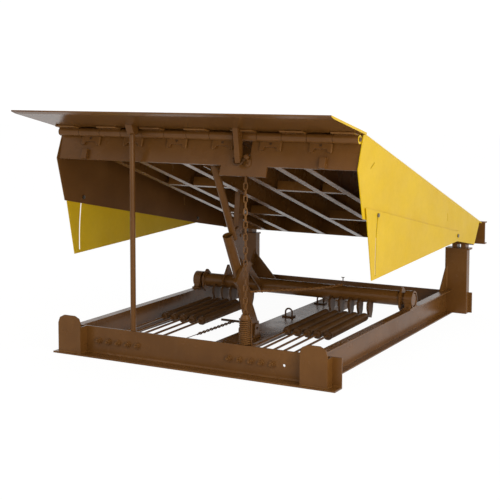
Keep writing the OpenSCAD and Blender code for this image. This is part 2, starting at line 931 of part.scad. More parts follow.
// A flat leaf joins a barrel to the underside of the lip.
module lip_leaf(x, w) {
    on_lip()
        translate([x, hinge_l - leaf_len, -lip_t - leaf_t])
            cube([w, leaf_len + 8, leaf_t]);
}

module lip_barrels() {
    color(brown)
        difference() {
            union()
                for (i = [0:2:barrel_n - 1]) {
                    barrel(i);
                    lip_leaf(-side_in + i * barrel_w + barrel_gap / 2 + 6, barrel_w - barrel_gap - 12);
                }
            x_rod(-side_in, side_in, hinge_y, hinge_z, pin_d + 0.6);
        }
}

module lip_hinge_pin() {
    color(dark)
        x_rod(-side_in - 4, side_in + 4, hinge_y, hinge_z, pin_d);
}

module lip_plate() {
    color(brown)
        on_lip()
            yz_plate(-lip_half, 2 * lip_half, [[-lip_len, 0], [-lip_gap, 0], [-lip_gap - 6, -lip_t],
                [-lip_len + 40, -lip_t], [-lip_len, -lip_t + 6]]);
}

// The lifter arm hangs from the lip in front of the hinge.
module lifter_arm() {
    color(brown)
        difference() {
            translate([0, hinge_y, hinge_z])
                yz_plate(arm_x - arm_w / 2, arm_w, [[-103, 76], [-47, 76], [-37, -4], [-29, -142], [-43, -158],
                    [-67, -154], [-85, -24]]);
            on_lip()
                translate([0, -300, -lip_t])
                    cube([600, 400, 100]);
            lip_leaf(arm_x - arm_w, 2 * arm_w);
        }
}

// A ribbed socket under the lip takes the head of the service strut.
module strut_socket() {
    color(brown)
        difference() {
            yz_plate(strut_x - 30, 50, [[10, deck_z + 60], [106, deck_z + 60], [106, strut_top],
                [62, strut_top]]);
            on_lip()
                translate([-1000, -400, -lip_t])
                    cube([2000, 500, 100]);
        }
}

module service_strut() {
    color(brown)
        translate([strut_x, leg_rear + strut_d / 2 + 0.3, 0])
            cylinder(d = strut_d, h = strut_top);
}

guard_outline = [[213, 1014], [307, 582], [1887, 619], [1930, 640], [1912, 690], [1858, 691]];

module toe_guard() {
    slot_w = bolt_d + 2 * bolt_clear;
    color(yellow)
        difference() {
            yz_plate(guard_in, guard_t, guard_outline);
            x_rod(guard_in - cut, guard_out + cut, pivot_y, pivot_z, bolt_d + 2 * pin_clear);
            x_rod(guard_in - cut, guard_out + cut, guide_y, guide_z, slot_w);
            x_rod(guard_in - cut, guard_out + cut, slot_end_y, slot_end_z, slot_w);
            translate([guard_in - cut, pivot_y, pivot_z])
                rotate([0, 90, 0])
                    rotate([0, 0, 270 - guide_a])
                        rotate_extrude(angle = guard_swing, $fn = 256)
                            translate([guide_r - slot_w / 2, 0])
                                square([slot_w, guard_t + 2 * cut]);
        }
}

module toe_guard_left() {
    left()
        toe_guard();
}

module toe_guard_right() {
    toe_guard();
}

// A spacer keeps each toe guard off its side plate.
module guard_bolts() {
    head_x = guard_out + pin_clear;
    head = 8;
    color(steel)
        for (side = [0, 1], p = [[pivot_y, pivot_z], [guide_y, guide_z]])
            mirror([side, 0, 0])
                union() {
                    x_rod(side_in - 10, head_x + head, p[0], p[1], bolt_d);
                    x_rod(head_x, head_x + head, p[0], p[1], 24);
                    x_rod(deck_half, guard_in - pin_clear, p[0], p[1], 24);
                    x_rod(side_in - 10, side_in, p[0], p[1], 24);
                }
}

front_angle();
lip_keepers();
side_channels();
rear_posts();
post_gussets();
rear_angle();
rear_beam();
rear_hinge_pin();
centre_beam();
lifting_rings();
torque_tube();
tube_bearings();
spring_levers();
springs();
spring_rods();
lift_plates();
lift_link();
lift_strap();
lift_shaft();
lift_foot();
hold_down_tube();
hold_down_sleeve();
hold_down_bracket();
snubber_spring();
snubber_bracket();
lip_chain();
deck_plate();
header_plate();
side_plates();
deck_joists();
deck_cross_bars();
rear_plate();
deck_barrels();
lip_barrels();
lip_hinge_pin();
lip_plate();
lifter_arm();
strut_socket();
service_strut();
toe_guard_left();
toe_guard_right();
guard_bolts();
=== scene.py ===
import json
import math
import bpy
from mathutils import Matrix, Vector


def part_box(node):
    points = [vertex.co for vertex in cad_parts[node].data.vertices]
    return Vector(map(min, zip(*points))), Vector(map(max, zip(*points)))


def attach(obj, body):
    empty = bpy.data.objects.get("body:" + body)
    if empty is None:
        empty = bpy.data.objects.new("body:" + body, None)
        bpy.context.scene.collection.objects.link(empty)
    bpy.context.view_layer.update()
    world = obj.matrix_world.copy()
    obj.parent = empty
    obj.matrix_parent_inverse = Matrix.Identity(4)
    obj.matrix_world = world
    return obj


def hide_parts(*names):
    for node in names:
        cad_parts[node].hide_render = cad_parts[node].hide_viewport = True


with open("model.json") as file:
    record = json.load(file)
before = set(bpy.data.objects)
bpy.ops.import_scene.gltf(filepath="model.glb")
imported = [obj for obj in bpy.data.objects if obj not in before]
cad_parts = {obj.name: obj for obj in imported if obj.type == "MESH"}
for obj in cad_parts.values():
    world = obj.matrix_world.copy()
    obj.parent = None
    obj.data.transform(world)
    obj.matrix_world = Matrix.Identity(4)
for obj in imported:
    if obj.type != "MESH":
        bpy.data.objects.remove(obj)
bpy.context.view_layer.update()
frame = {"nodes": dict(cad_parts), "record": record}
nodes = frame["nodes"]
scene = bpy.context.scene
BODY = "leveler"

# Camera at the photograph's viewing angle.
cam = bpy.data.cameras.new("camera")
cam.sensor_width = 36.0
cam.lens = 82.44
cam.shift_x = 0.0525
cam.shift_y = -0.1454
cam.clip_end = 100.0
camera = bpy.data.objects.new("camera", cam)
camera.location = (3.5141, -5.7974, 1.7347)
camera.rotation_euler = (math.radians(85.15), 0.0, math.radians(29.341))
scene.collection.objects.link(camera)
scene.camera = camera


# Materials
def srgb(r, g, b):
    """Linear colour from 8-bit sRGB values."""
    out = []
    for c in (r, g, b):
        c = c / 255.0
        out.append(c / 12.92 if c <= 0.04045 else ((c + 0.055) / 1.055) ** 2.4)
    return (out[0], out[1], out[2], 1.0)


class Nodes:
    """A material and short forms for its shader nodes."""

    def __init__(self, name):
        self.mat = bpy.data.materials.new(name)
        self.mat.use_nodes = True
        self.tree = self.mat.node_tree
        self.bsdf = self.tree.nodes["Principled BSDF"]

    def new(self, kind, **props):
        n = self.tree.nodes.new(kind)
        for k, v in props.items():
            setattr(n, k, v)
        return n

    def link(self, a, b):
        self.tree.links.new(a, b)

    def split(self, vector):
        n = self.new("ShaderNodeSeparateXYZ")
        self.link(vector, n.inputs[0])
        return n.outputs

    def noise(self, scale, detail, rough, coord):
        n = self.new("ShaderNodeTexNoise")
        n.inputs["Scale"].default_value = scale
        n.inputs["Detail"].default_value = detail
        n.inputs["Roughness"].default_value = rough
        self.link(coord, n.inputs["Vector"])
        return n.outputs["Fac"]

    def ramp(self, fac, stops):
        n = self.new("ShaderNodeValToRGB")
        e = n.color_ramp.elements
        while len(e) < len(stops):
            e.new(0.5)
        for i, (p, c) in enumerate(stops):
            e[i].position = p
            e[i].color = c
        self.link(fac, n.inputs["Fac"])
        return n.outputs["Color"]

    def mix(self, fac, a, b):
        n = self.new("ShaderNodeMix", data_type="RGBA")
        for sock, val in ((n.inputs[0], fac), (n.inputs[6], a), (n.inputs[7], b)):
            if isinstance(val, (int, float, tuple)):
                sock.default_value = val
            else:
                self.link(val, sock)
        return n.outputs[2]

    def math(self, op, a, b=0.0, clamp=False):
        n = self.new("ShaderNodeMath", operation=op, use_clamp=clamp)
        for sock, val in ((n.inputs[0], a), (n.inputs[1], b)):
            if isinstance(val, (int, float)):
                sock.default_value = val
            else:
                self.link(val, sock)
        return n.outputs[0]

    def spread(self, fac, lo, hi):
        n = self.new("ShaderNodeMapRange")
        n.inputs["From Min"].default_value = 0.3
        n.inputs["From Max"].default_value = 0.7
        n.inputs["To Min"].default_value = lo
        n.inputs["To Max"].default_value = hi
        self.link(fac, n.inputs["Value"])
        return n.outputs["Result"]

    def bump(self, height, strength, distance, normal=None):
        n = self.new("ShaderNodeBump")
        n.inputs["Strength"].default_value = strength
        n.inputs["Distance"].default_value = distance
        self.link(height, n.inputs["Height"])
        if normal is not None:
            self.link(normal, n.inputs["Normal"])
        return n.outputs["Normal"]


def outward(m):
    """How far a face looks away from the centre line, -1 to 1, with the face's normal and place."""
    geo = m.new("ShaderNodeNewGeometry")
    normal = m.split(geo.outputs["True Normal"])
    place = m.split(geo.outputs["Position"])
    return m.math("MULTIPLY", normal[0], m.math("SIGN", place[0])), normal, place


def outer_edges(m):
    """Mask of the end faces beyond the deck's barrels."""
    out, _, place = outward(m)
    far = m.math("GREATER_THAN", m.math("ABSOLUTE", place[0]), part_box("lip_barrels")[1].x - 0.006)
    return m.math("MULTIPLY", m.math("GREATER_THAN", out, 0.5), far)


def inner_faces(m):
    """Mask of the inner faces of the side plates and of the left plate's front edge."""
    out, normal, place = outward(m)
    front = m.math("MULTIPLY", m.math("LESS_THAN", normal[1], -0.5), m.math("LESS_THAN", place[0], 0.0))
    return m.math("MAXIMUM", m.math("LESS_THAN", out, -0.5), front)


def tread(m, normal):
    """Raised lozenges on the upper face, laid crosswise in turn."""
    pitch, long, wide, relief = 0.055, 0.33, 0.09, 0.0022
    _, facing, place = outward(m)
    total = None
    for turn, shift in ((45.0, 0.0), (-45.0, 0.5)):
        c, s = math.cos(math.radians(turn)), math.sin(math.radians(turn))
        u = m.math("SUBTRACT", m.math("FRACT", m.math("ADD", m.math("DIVIDE", place[0], pitch), shift)), 0.5)
        v = m.math("SUBTRACT", m.math("FRACT", m.math("DIVIDE", place[1], pitch)), 0.5)
        a = m.math("DIVIDE", m.math("ADD", m.math("MULTIPLY", u, c), m.math("MULTIPLY", v, s)), long)
        b = m.math("DIVIDE", m.math("SUBTRACT", m.math("MULTIPLY", v, c), m.math("MULTIPLY", u, s)), wide)
        r = m.math("ADD", m.math("MULTIPLY", a, a), m.math("ABSOLUTE", b))
        bar = m.math("MULTIPLY", m.math("SUBTRACT", 1.0, r, True), 2.5, True)
        total = bar if total is None else m.math("MAXIMUM", total, bar)
    up = m.math("GREATER_THAN", facing[2], 0.5)
    return m.bump(m.math("MULTIPLY", total, up), 0.9, relief, normal)


def tones(colours):
    """Ramp stops from a paint's base, light and deep tone."""
    base, light, deep = colours
    return [(0.32, deep), (0.52, base), (0.74, light)]


def paint(name, colours, rough=(0.2, 0.32), spec=0.17, dust=0.06, patch=None, lozenges=False, peel=0.03):
    """Sprayed paint: cloudy colour, dust in streaks, worn edges and orange peel."""
    m = Nodes(name)
    pos = m.new("ShaderNodeTexCoord").outputs["Object"]
    cloud = m.noise(2.6, 4.0, 0.6, pos)
    colour = m.ramp(cloud, tones(colours))
    if patch is not None:
        mask, others = patch
        colour = m.mix(mask(m), colour, m.ramp(cloud, tones(others)))
    colour = m.mix(m.spread(m.noise(38.0, 5.0, 0.6, pos), 0.02, 0.07), colour, (0.0, 0.0, 0.0, 1.0))
    streak = m.new("ShaderNodeMapping")
    streak.inputs["Scale"].default_value = (9.0, 9.0, 1.1)
    m.link(pos, streak.inputs["Vector"])
    veil = m.spread(m.noise(1.7, 6.0, 0.65, streak.outputs["Vector"]), -0.6, 0.5)
    colour = m.mix(m.math("MULTIPLY", veil, dust, True), colour, srgb(150, 128, 100))
    # Worn edges come from the angle between the flat normal and the rounded one.
    bev = m.new("ShaderNodeBevel", samples=6)
    bev.inputs["Radius"].default_value = 0.0035
    dot = m.new("ShaderNodeVectorMath", operation="DOT_PRODUCT")
    m.link(bev.outputs["Normal"], dot.inputs[0])
    m.link(m.new("ShaderNodeNewGeometry").outputs["True Normal"], dot.inputs[1])
    edge = m.math("MULTIPLY", m.math("SUBTRACT", 1.0, dot.outputs["Value"], True), 3.2, True)
    worn = m.math("MULTIPLY", edge, m.spread(m.noise(21.0, 4.0, 0.6, pos), -0.1, 0.4), True)
    colour = m.mix(worn, colour, colours[1])
    m.link(colour, m.bsdf.inputs["Base Color"])
    m.link(m.spread(m.noise(6.0, 5.0, 0.6, pos), rough[0], rough[1]), m.bsdf.inputs["Roughness"])
    m.bsdf.inputs["Specular IOR Level"].default_value = spec
    normal = m.bump(m.noise(240.0, 2.0, 0.5, pos), peel, 0.0008, bev.outputs["Normal"])
    if lozenges:
        normal = tread(m, normal)
    m.link(normal, m.bsdf.inputs["Normal"])
    return m.mat


def plated(name, tone, rough):
    """Zinc plate: mottled metal."""
    m = Nodes(name)
    pos = m.new("ShaderNodeTexCoord").outputs["Object"]
    dim = tuple(0.7 * c for c in tone[:3]) + (1.0,)
    m.link(m.ramp(m.noise(60.0, 4.0, 0.6, pos), [(0.3, dim), (0.7, tone)]), m.bsdf.inputs["Base Color"])
    m.link(m.spread(m.noise(90.0, 3.0, 0.5, pos), rough[0], rough[1]), m.bsdf.inputs["Roughness"])
    m.bsdf.inputs["Metallic"].default_value = 0.85
    m.link(m.bump(m.noise(400.0, 2.0, 0.5, pos), 0.1, 0.0005), m.bsdf.inputs["Normal"])
    return m.mat


# Each paint: base, light and deep tone.
BROWN = (srgb(107, 70, 31), srgb(116, 78, 38), srgb(98, 63, 26))
DARK = (srgb(86, 57, 28), srgb(100, 69, 38), srgb(70, 46, 21))
CHAIN = (srgb(114, 76, 36), srgb(138, 97, 54), srgb(90, 58, 27))
PALE_CHAIN = (srgb(152, 105, 56), srgb(170, 120, 68), srgb(132, 90, 46))
# Weld beads: a lighter brown than the frame, a painted highlight on the beads
WELD_HIGHLIGHT = (srgb(120, 81, 38), srgb(134, 94, 50), srgb(102, 67, 30))
YELLOW = (srgb(216, 180, 24), srgb(221, 186, 30), srgb(211, 174, 20))

frame_mat = paint("brown_frame_paint", BROWN)
under_mat = paint("brown_under_deck_paint", BROWN, patch=(outer_edges, YELLOW))
deck_mat = paint("brown_deck_paint", BROWN, (0.26, 0.27), dust=0.0, patch=(outer_edges, YELLOW), lozenges=True,
                 peel=0.0)
dark_mat = paint("dark_brown_paint", DARK, (0.3, 0.45))
side_mat = paint("yellow_side_paint", YELLOW, (0.35, 0.48), 0.14, 0.0, (inner_faces, BROWN), peel=0.06)
guard_mat = paint("yellow_guard_paint", YELLOW, (0.35, 0.48), 0.14, 0.0, peel=0.06)
bolt_mat = plated("zinc_plate", srgb(120, 116, 108), (0.25, 0.42))
chain_mat = paint("chain_paint", CHAIN, (0.3, 0.45))
pale_mat = paint("pale_chain_paint", PALE_CHAIN, (0.3, 0.45))
weld_highlight_mat = paint("weld_paint_painted_highlight", WELD_HIGHLIGHT, (0.3, 0.45))

by_slot = {"frame_paint": frame_mat, "deck_paint": under_mat, "lip_paint": deck_mat, "dark_paint": dark_mat,
           "side_paint": side_mat, "guard_paint": guard_mat, "bolt_steel": bolt_mat}
by_node = {"deck_plate": deck_mat}
for sub in frame["record"]["subparts"]:
    mat = by_node.get(sub["node"], by_slot[sub["material_slot"]])
    for slot in nodes[sub["node"]].material_slots:
        slot.material = mat


# Mesh code for the small pieces
class Mesh:
    """Points and faces of one piece."""

    def __init__(self):
        self.v = []
        self.f = []

    def rings(self, base, count, seg, closed=False):
        """Faces between count rings of seg points from index base on."""
        for i in range(count if closed else count - 1):
            this, other = base + i * seg, base + (i + 1) % count * seg
            for k in range(seg):
                n = (k + 1) % seg
                self.f.append((this + k, this + n, other + n, other + k))
        if not closed:
            self.f.append(tuple(base + k for k in reversed(range(seg))))
            self.f.append(tuple(base + (count - 1) * seg + k for k in range(seg)))

    def tube(self, pts, r, seg=8, closed=False):
        """A round bar along the points, with one radius or one for each."""
        n = len(pts)
        radii = r if isinstance(r, list) else [r] * n
        side = None
        base = len(self.v)
        for i in range(n):
            before = pts[i - 1] if i > 0 or closed else pts[i]
            after = pts[(i + 1) % n] if i < n - 1 or closed else pts[i]
            t = (after - before).normalized()
            if side is None:
                side = t.cross(steady(t))
            side = (side - t * side.dot(t)).normalized()
            other = t.cross(side)
            for k in range(seg):
                a = 2 * math.pi * k / seg
                self.v.append(pts[i] + (side * math.cos(a) + other * math.sin(a)) * radii[i])
        self.rings(base, n, seg, closed)

    def lathe(self, origin, axis, profile, seg=24):
        """Rings of (distance along the axis, radius), closed at both ends."""
        axis = axis.normalized()
        side = axis.cross(steady(axis)).normalized()
        other = axis.cross(side)
        base = len(self.v)
        for d, r in profile:
            for k in range(seg):
                a = 2 * math.pi * k / seg
                self.v.append(origin + axis * d + (side * math.cos(a) + other * math.sin(a)) * r)
        self.rings(base, len(profile), seg)

    def bolt(self, origin, axis, size):
        """A hexagon head on a washer."""
        self.lathe(origin, axis, [(0, size * 1.05), (size * 0.16, size * 1.05), (size * 0.2, size)], 20)
        r = size * 0.87
        head = origin + axis.normalized() * size * 0.2
        self.lathe(head, axis, [(0, r), (size * 0.53, r), (size * 0.65, r * 0.86)], 6)

    def bead(self, a, b, r=0.0045):
        """A weld bead, rippled along its length."""
        count = max(3, int((b - a).length / 0.007))
        pts = [a.lerp(b, i / count) for i in range(count + 1)]
        radii = [r * (0.5 if i in (0, count) else 1.0 + 0.12 * (-1) ** i) for i in range(count + 1)]
        self.tube(pts, radii, 6)

    def plate(self, centre, across, up, w, h, t):
        """A flat plate with cut corners that stands on its centre along across x up."""
        across, up = across.normalized(), up.normalized()
        out = across.cross(up)
        c = 0.16 * min(w, h)
        corners = [(w / 2, -h / 2 + c), (w / 2, h / 2 - c), (w / 2 - c, h / 2), (c - w / 2, h / 2),
                   (-w / 2, h / 2 - c), (-w / 2, c - h / 2), (c - w / 2, -h / 2), (w / 2 - c, -h / 2)]
        base = len(self.v)
        for d, grow in ((0.0, 1.0), (0.8 * t, 1.0), (t, 0.95)):
            for x, y in corners:
                self.v.append(centre + out * d + (across * x + up * y) * grow)
        self.rings(base, 3, len(corners))

    def piece(self, name, mat, slot, *hides, sharp=40.0):
        """An object of the fixed body, in place of the nodes that it hides."""
        me = bpy.data.meshes.new(name)
        me.from_pydata([tuple(p) for p in self.v], [], self.f)
        me.validate()
        me.update()
        me.shade_smooth()
        me.set_sharp_from_angle(angle=math.radians(sharp))
        me.materials.append(mat)
        obj = bpy.data.objects.new(name, me)
        scene.collection.objects.link(obj)
        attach(obj, BODY)
        if hides:
            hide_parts(*hides)


def steady(t):
    """An axis well off t."""
    return Vector((0, 0, 1)) if abs(t.z) < 0.9 else Vector((1, 0, 0))


def helix(origin, axis, radius, pitch, turns, steps):
    """Points of a coil around the axis."""
    side = axis.cross(steady(axis)).normalized()
    other = axis.cross(side)
    out = []
    for i in range(int(turns * steps) + 1):
        a = 2 * math.pi * i / steps
        out.append(origin + axis * (pitch * i / steps) + (side * math.cos(a) + other * math.sin(a)) * radius)
    return out


def link_points(centre, along, across, length, width):
    """The middle line of a stadium-shaped link, long side along the chain."""
    half = width / 2
    straight = length / 2 - half
    out = []
    for end in (1, -1):
        for i in range(7):
            a = math.pi * i / 6
            up, over = straight + math.sin(a) * half, math.cos(a) * half
            out.append(centre + along * end * up + across * end * over)
    return out


def chain(m, pts, bar, length, width, seg=6):
    """Links turned a quarter each, along a line of points."""
    total = sum((b - a).length for a, b in zip(pts, pts[1:]))
    count = round(total / (length - 2 * bar))
    step = total / count
    i, done = 0, 0.0
    for n in range(count):
        want = (n + 0.5) * step
        while done + (pts[i + 1] - pts[i]).length < want:
            done += (pts[i + 1] - pts[i]).length
            i += 1
        along = (pts[i + 1] - pts[i]).normalized()
        c1 = along.cross(steady(along)).normalized()
        c2 = along.cross(c1)
        across = (c1 + c2 if n % 2 else c1 - c2).normalized()
        centre = pts[i] + along * (want - done)
        m.tube(link_points(centre, along, across, step + bar, width - bar), bar / 2, seg, True)


def clusters(node):
    """Middle of each group of a node's vertices across the part."""
    xs = sorted(v.co.x for v in nodes[node].data.vertices)
    groups = [[xs[0]]]
    for a, b in zip(xs, xs[1:]):
        if b - a > 0.01:
            groups.append([])
        groups[-1].append(b)
    return [(g[0] + g[-1]) / 2 for g in groups]


def middle(node):
    """Centre of a node's box."""
    lo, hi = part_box(node)
    return (lo + hi) / 2


# Places read from the frame
SLOPE = math.radians(18.23)
DECK_T = 0.010
deck_lo, deck_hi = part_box("deck_plate")
deck_front = Vector((0, -math.cos(SLOPE), math.sin(SLOPE)))
deck_up = Vector((0, math.sin(SLOPE), math.cos(SLOPE)))
deck_edge = Vector((0, deck_lo.y + DECK_T * math.sin(SLOPE), deck_hi.z))
X = Vector((1, 0, 0))
Y = Vector((0, 1, 0))
Z = Vector((0, 0, 1))

# Main springs: close-wound coils with a plug at the front and a hook at the rear.
ROD_R, WASHER_R, ANGLE_T = 0.007, 0.023, 0.010
COIL_R, WIRE, WIRE_GAP, PLUG, TIP, REAR_Z = 0.029, 0.0046, 0.0003, 0.026, 0.033, 0.113
HOOK_WIRE, THREAD_STEP, THREAD_DEEP, THREAD_N = 0.0085, 0.0012, 0.0012, 12
PLUG_SHAPE = [(0, 0.022), (0.002, 0.025), (0.006, 0.025), (0.008, 0.020), (0.018, 0.020), (0.019, 0.030),
              (0.026, 0.030), (0.03, 0.022)]
CONE_SHAPE = [(0, 0.0285), (0.012, 0.026), (0.024, 0.016), (0.032, 0.010)]
CONE_SINK, CONE_HOOK, COIL_SHORT = 0.004, 0.026, 0.03
rod_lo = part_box("spring_rods")[0]
rod_z = rod_lo.z + WASHER_R
leg_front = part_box("front_angle")[1].y - ANGLE_T
coil_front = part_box("springs")[0].y + PLUG
coil_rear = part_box("springs")[1].y - TIP
rise = (REAR_Z - rod_z) / (coil_rear - leg_front)
axis = Vector((0, 1, rise)).normalized()
m = Mesh()
rods = Mesh()
for x in clusters("spring_rods"):
    start = Vector((x, coil_front, rod_z + (coil_front - leg_front) * rise))
    length = (coil_rear - coil_front) / axis.y - COIL_SHORT
    turns = length / (2 * WIRE + WIRE_GAP)
    m.tube(helix(start, axis, COIL_R - WIRE, length / turns, turns, 14), WIRE, 6)
    m.lathe(start - axis * PLUG, axis, PLUG_SHAPE, 20)
    end = start + axis * (length - CONE_SINK)
    m.lathe(end, axis, CONE_SHAPE, 20)
    m.tube([end + axis * CONE_HOOK, Vector((x, coil_rear + TIP, REAR_Z))], HOOK_WIRE, 10)
    thread = [(THREAD_STEP * i, ROD_R + (THREAD_DEEP if i % 2 else 0.0001)) for i in range(THREAD_N)]
    rods.lathe(Vector((x, rod_lo.y, rod_z)), axis, thread, 14)
m.piece("spring_coils", dark_mat, "dark_paint", "springs")
rods.piece("rod_threads", frame_mat, "frame_paint")

# Lip chain with its stop, rod and snubber coil
chain_foot = middle("lip_chain")
chain_foot.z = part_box("lip_chain")[0].z
chain_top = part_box("lip_chain")[1].z
cap_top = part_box("snubber_bracket")[1].z
snub_lo, snub_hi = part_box("snubber_spring")
SNUB_R, SNUB_WIRE, SNUB_TURNS = 0.038, 0.0046, 12
STOP_SHAPE = [(0, 0.021), (0.003, 0.0225), (0.017, 0.0225), (0.02, 0.019)]
STOP_TALL, SNUB_ROD, CAP_SINK, CHAIN_SHORT = 0.018, 0.007, 0.012, 0.004
# Each chain: bar, length and width of a link.
LIP_LINK, RELEASE_LINK = (0.0066, 0.051, 0.027), (0.006, 0.034, 0.019)
PULL_LINK, SHACKLE_LINK = (0.0065, 0.036, 0.020), (0.005, 0.030, 0.018)
m = Mesh()
m.lathe(chain_foot, Z, STOP_SHAPE)
m.lathe(chain_foot + Z * STOP_TALL, Z, [(0, SNUB_ROD), (cap_top - chain_foot.z - 0.02, SNUB_ROD)], 12)
low = Vector((chain_foot.x, chain_foot.y, cap_top - CAP_SINK))
chain(m, [low, Vector((low.x, low.y, chain_top - CHAIN_SHORT))], *LIP_LINK, 8)
m.piece("lip_chain_links", chain_mat, "dark_paint", "lip_chain")

m = Mesh()
height = snub_hi.z - snub_lo.z - 2 * SNUB_WIRE
start = Vector((chain_foot.x, chain_foot.y, snub_lo.z + SNUB_WIRE))
m.tube(helix(start, Z, SNUB_R - SNUB_WIRE, height / SNUB_TURNS, SNUB_TURNS, 32), SNUB_WIRE, 10)
m.piece("snubber_coil", chain_mat, "dark_paint", "snubber_spring")

# Release chain from the lift plates to a T hook on the torque tube
TUBE_R, HUB_R, SAG = 0.051, 0.0595, 0.02
EYE_OUT, EYE_Y, EYE_Z, HOOK_X, CHAIN_UP = 0.006, 0.720, 0.360, 0.333, 0.008
EYE_SHAPE = [(0, 0.007), (0.004, 0.007), (0.0045, 0.0045), (0.012, 0.0045)]
tube_c = middle("tube_bearings")
tube_c.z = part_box("tube_bearings")[1].z - HUB_R
plate_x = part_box("lift_plates")[1].x
eye = Vector((plate_x + EYE_OUT, EYE_Y, EYE_Z))
hook = Vector((HOOK_X, tube_c.y, tube_c.z + TUBE_R))
m = Mesh()
line = []
for i in range(41):
    t = i / 40
    line.append(eye.lerp(hook + Z * CHAIN_UP, t) - Z * SAG * 4 * t * t * (1 - t))
chain(m, line, *RELEASE_LINK)
m.lathe(eye - X * EYE_OUT, X, EYE_SHAPE, 12)
m.piece("release_chain", pale_mat, "dark_paint")
m = Mesh()
HOOK_TALL, HOOK_HALF, HOOK_TURN, HOOK_R = 0.056, 0.011, 0.004, 0.0035
PEG_OUT, PEG_TALL, SINK = 0.022, 0.034, 0.003
top = hook + Z * HOOK_TALL
peg = hook - X * PEG_OUT
m.tube([hook - Z * SINK, hook + Z * HOOK_TALL / 2, top], HOOK_R, 10)
bar = [top - X * HOOK_HALF + Z * HOOK_TURN, top, top + X * HOOK_HALF + Z * HOOK_TURN]
m.tube(bar, [0.003, 0.004, 0.003], 10)
m.tube([peg - Z * SINK, peg + Z * PEG_TALL], [0.006, 0.003], 8)
m.piece("release_hook", dark_mat, "dark_paint")

# Pull chain from the front angle to the lift shaft
shaft_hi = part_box("lift_shaft")[1]
SHAFT_R, SHAFT_GAP, PULL_X, PULL_FREE, PULL_SKEW = 0.008, 0.002, -0.140, 0.384, 0.012
ROD_SKEW, ROD_LAP, THIN_ROD = 0.008, 0.006, 0.0026
NUT_SHAPE = [(0, 0.009), (0.005, 0.009), (0.006, 0.006)]
grip = Vector((PULL_X, shaft_hi.y - 2 * SHAFT_R - SHAFT_GAP, shaft_hi.z - SHAFT_R))
free = Vector((PULL_X - PULL_SKEW, PULL_FREE, grip.z))
m = Mesh()
chain(m, [grip, free], *PULL_LINK)
root = Vector((free.x - ROD_SKEW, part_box("front_angle")[1].y, grip.z))
m.tube([free + Y * ROD_LAP, root], THIN_ROD, 8)
m.lathe(root, Y, NUT_SHAPE, 6)
m.piece("pull_chain", dark_mat, "dark_paint")

# Bolts on the bearing feet
foot_lo, foot_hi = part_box("tube_bearings")
channel_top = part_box("side_channels")[1].z
channel_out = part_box("side_channels")[1].x
CHANNEL_W, FOOT_T, FOOT_EDGE, BOLT_IN, BOLT_SIZE = 0.058, 0.010, 0.0068, 0.016, 0.0085
m = Mesh()
for side in (-1, 1):
    for y in (foot_lo.y + FOOT_EDGE, foot_hi.y - FOOT_EDGE):
        for dx in (BOLT_IN, CHANNEL_W - BOLT_IN):
            m.bolt(Vector((side * (channel_out - dx), y, channel_top + FOOT_T)), Z, BOLT_SIZE)
m.piece("bearing_bolts", frame_mat, "frame_paint")

# Stop plate and knob below the lifter arm's slot in the header
arm_lo, arm_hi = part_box("lifter_arm")
STOP_DEEP, STOP_OUT, STOP_W, STOP_H, STOP_T, STOP_BOLT = 0.200, 0.028, 0.046, 0.050, 0.008, 0.013
KNOB_DEEP, KNOB_OUT = 0.170, 0.024
KNOB_SHAPE = [(0, 0.008), (0.014, 0.008), (0.015, 0.016), (0.026, 0.017), (0.032, 0.012)]
on_header = deck_edge - deck_up * STOP_DEEP + X * (arm_hi.x + STOP_OUT)
m = Mesh()
m.plate(on_header, X, deck_up, STOP_W, STOP_H, STOP_T)
for n in (-STOP_BOLT, STOP_BOLT):
    m.bolt(on_header + deck_up * n + deck_front * STOP_T, deck_front, 0.008)
knob = deck_edge - deck_up * KNOB_DEEP + X * (arm_hi.x + KNOB_OUT)
m.lathe(knob, deck_front, KNOB_SHAPE, 20)
m.piece("arm_stop", under_mat, "deck_paint")

# Shackle through the lifter arm's end, with links that run back into the slot
HINGE_OUT, HINGE_DEEP, ARM_BACK, PIN_UP = 0.0273, 0.0469, 0.047, 0.024
SHACKLE_GAP, BOW_R, BOW_STEM, BOW_START, BOW_TALL = 0.011, 0.006, 0.010, 0.012, 0.026
PIN_R, PIN_OVER, PIN_HEAD, HEAD_SIZE = 0.007, 0.008, 0.006, 0.010
SLOT_DEEP, SLOT_OUT, SLOT_IN, TIP_DOWN, LINK_SAG = 0.150, 0.026, 0.010, 0.036, 0.012
hinge = deck_edge + deck_front * HINGE_OUT - deck_up * HINGE_DEEP
pin = Vector(((arm_lo.x + arm_hi.x) / 2, hinge.y - ARM_BACK, arm_lo.z + PIN_UP))
half = (arm_hi.x - arm_lo.x) / 2 + SHACKLE_GAP
bow_dir = Vector((0, -0.6, -0.8))
m = Mesh()
m.tube([pin - X * (half + PIN_OVER), pin + X * (half + PIN_OVER)], PIN_R, 12)
for side in (-1, 1):
    m.bolt(pin + X * side * (half + PIN_HEAD), X * side, HEAD_SIZE)
bow = [pin - X * half, pin - X * half + bow_dir * BOW_STEM]
for i in range(13):
    a = math.pi * i / 12
    bow.append(pin - X * half * math.cos(a) + bow_dir * (BOW_START + BOW_TALL * math.sin(a)))
bow += [pin + X * half + bow_dir * BOW_STEM, pin + X * half]
m.tube(bow, BOW_R, 10)
slot = deck_edge - deck_up * SLOT_DEEP + X * (arm_hi.x + SLOT_OUT) - deck_front * SLOT_IN
tip = pin + bow_dir * TIP_DOWN
sagging = [tip.lerp(slot, i / 20) - Z * LINK_SAG * math.sin(math.pi * i / 20) for i in range(21)]
chain(m, sagging, *SHACKLE_LINK)
m.piece("arm_shackle", dark_mat, "dark_paint")
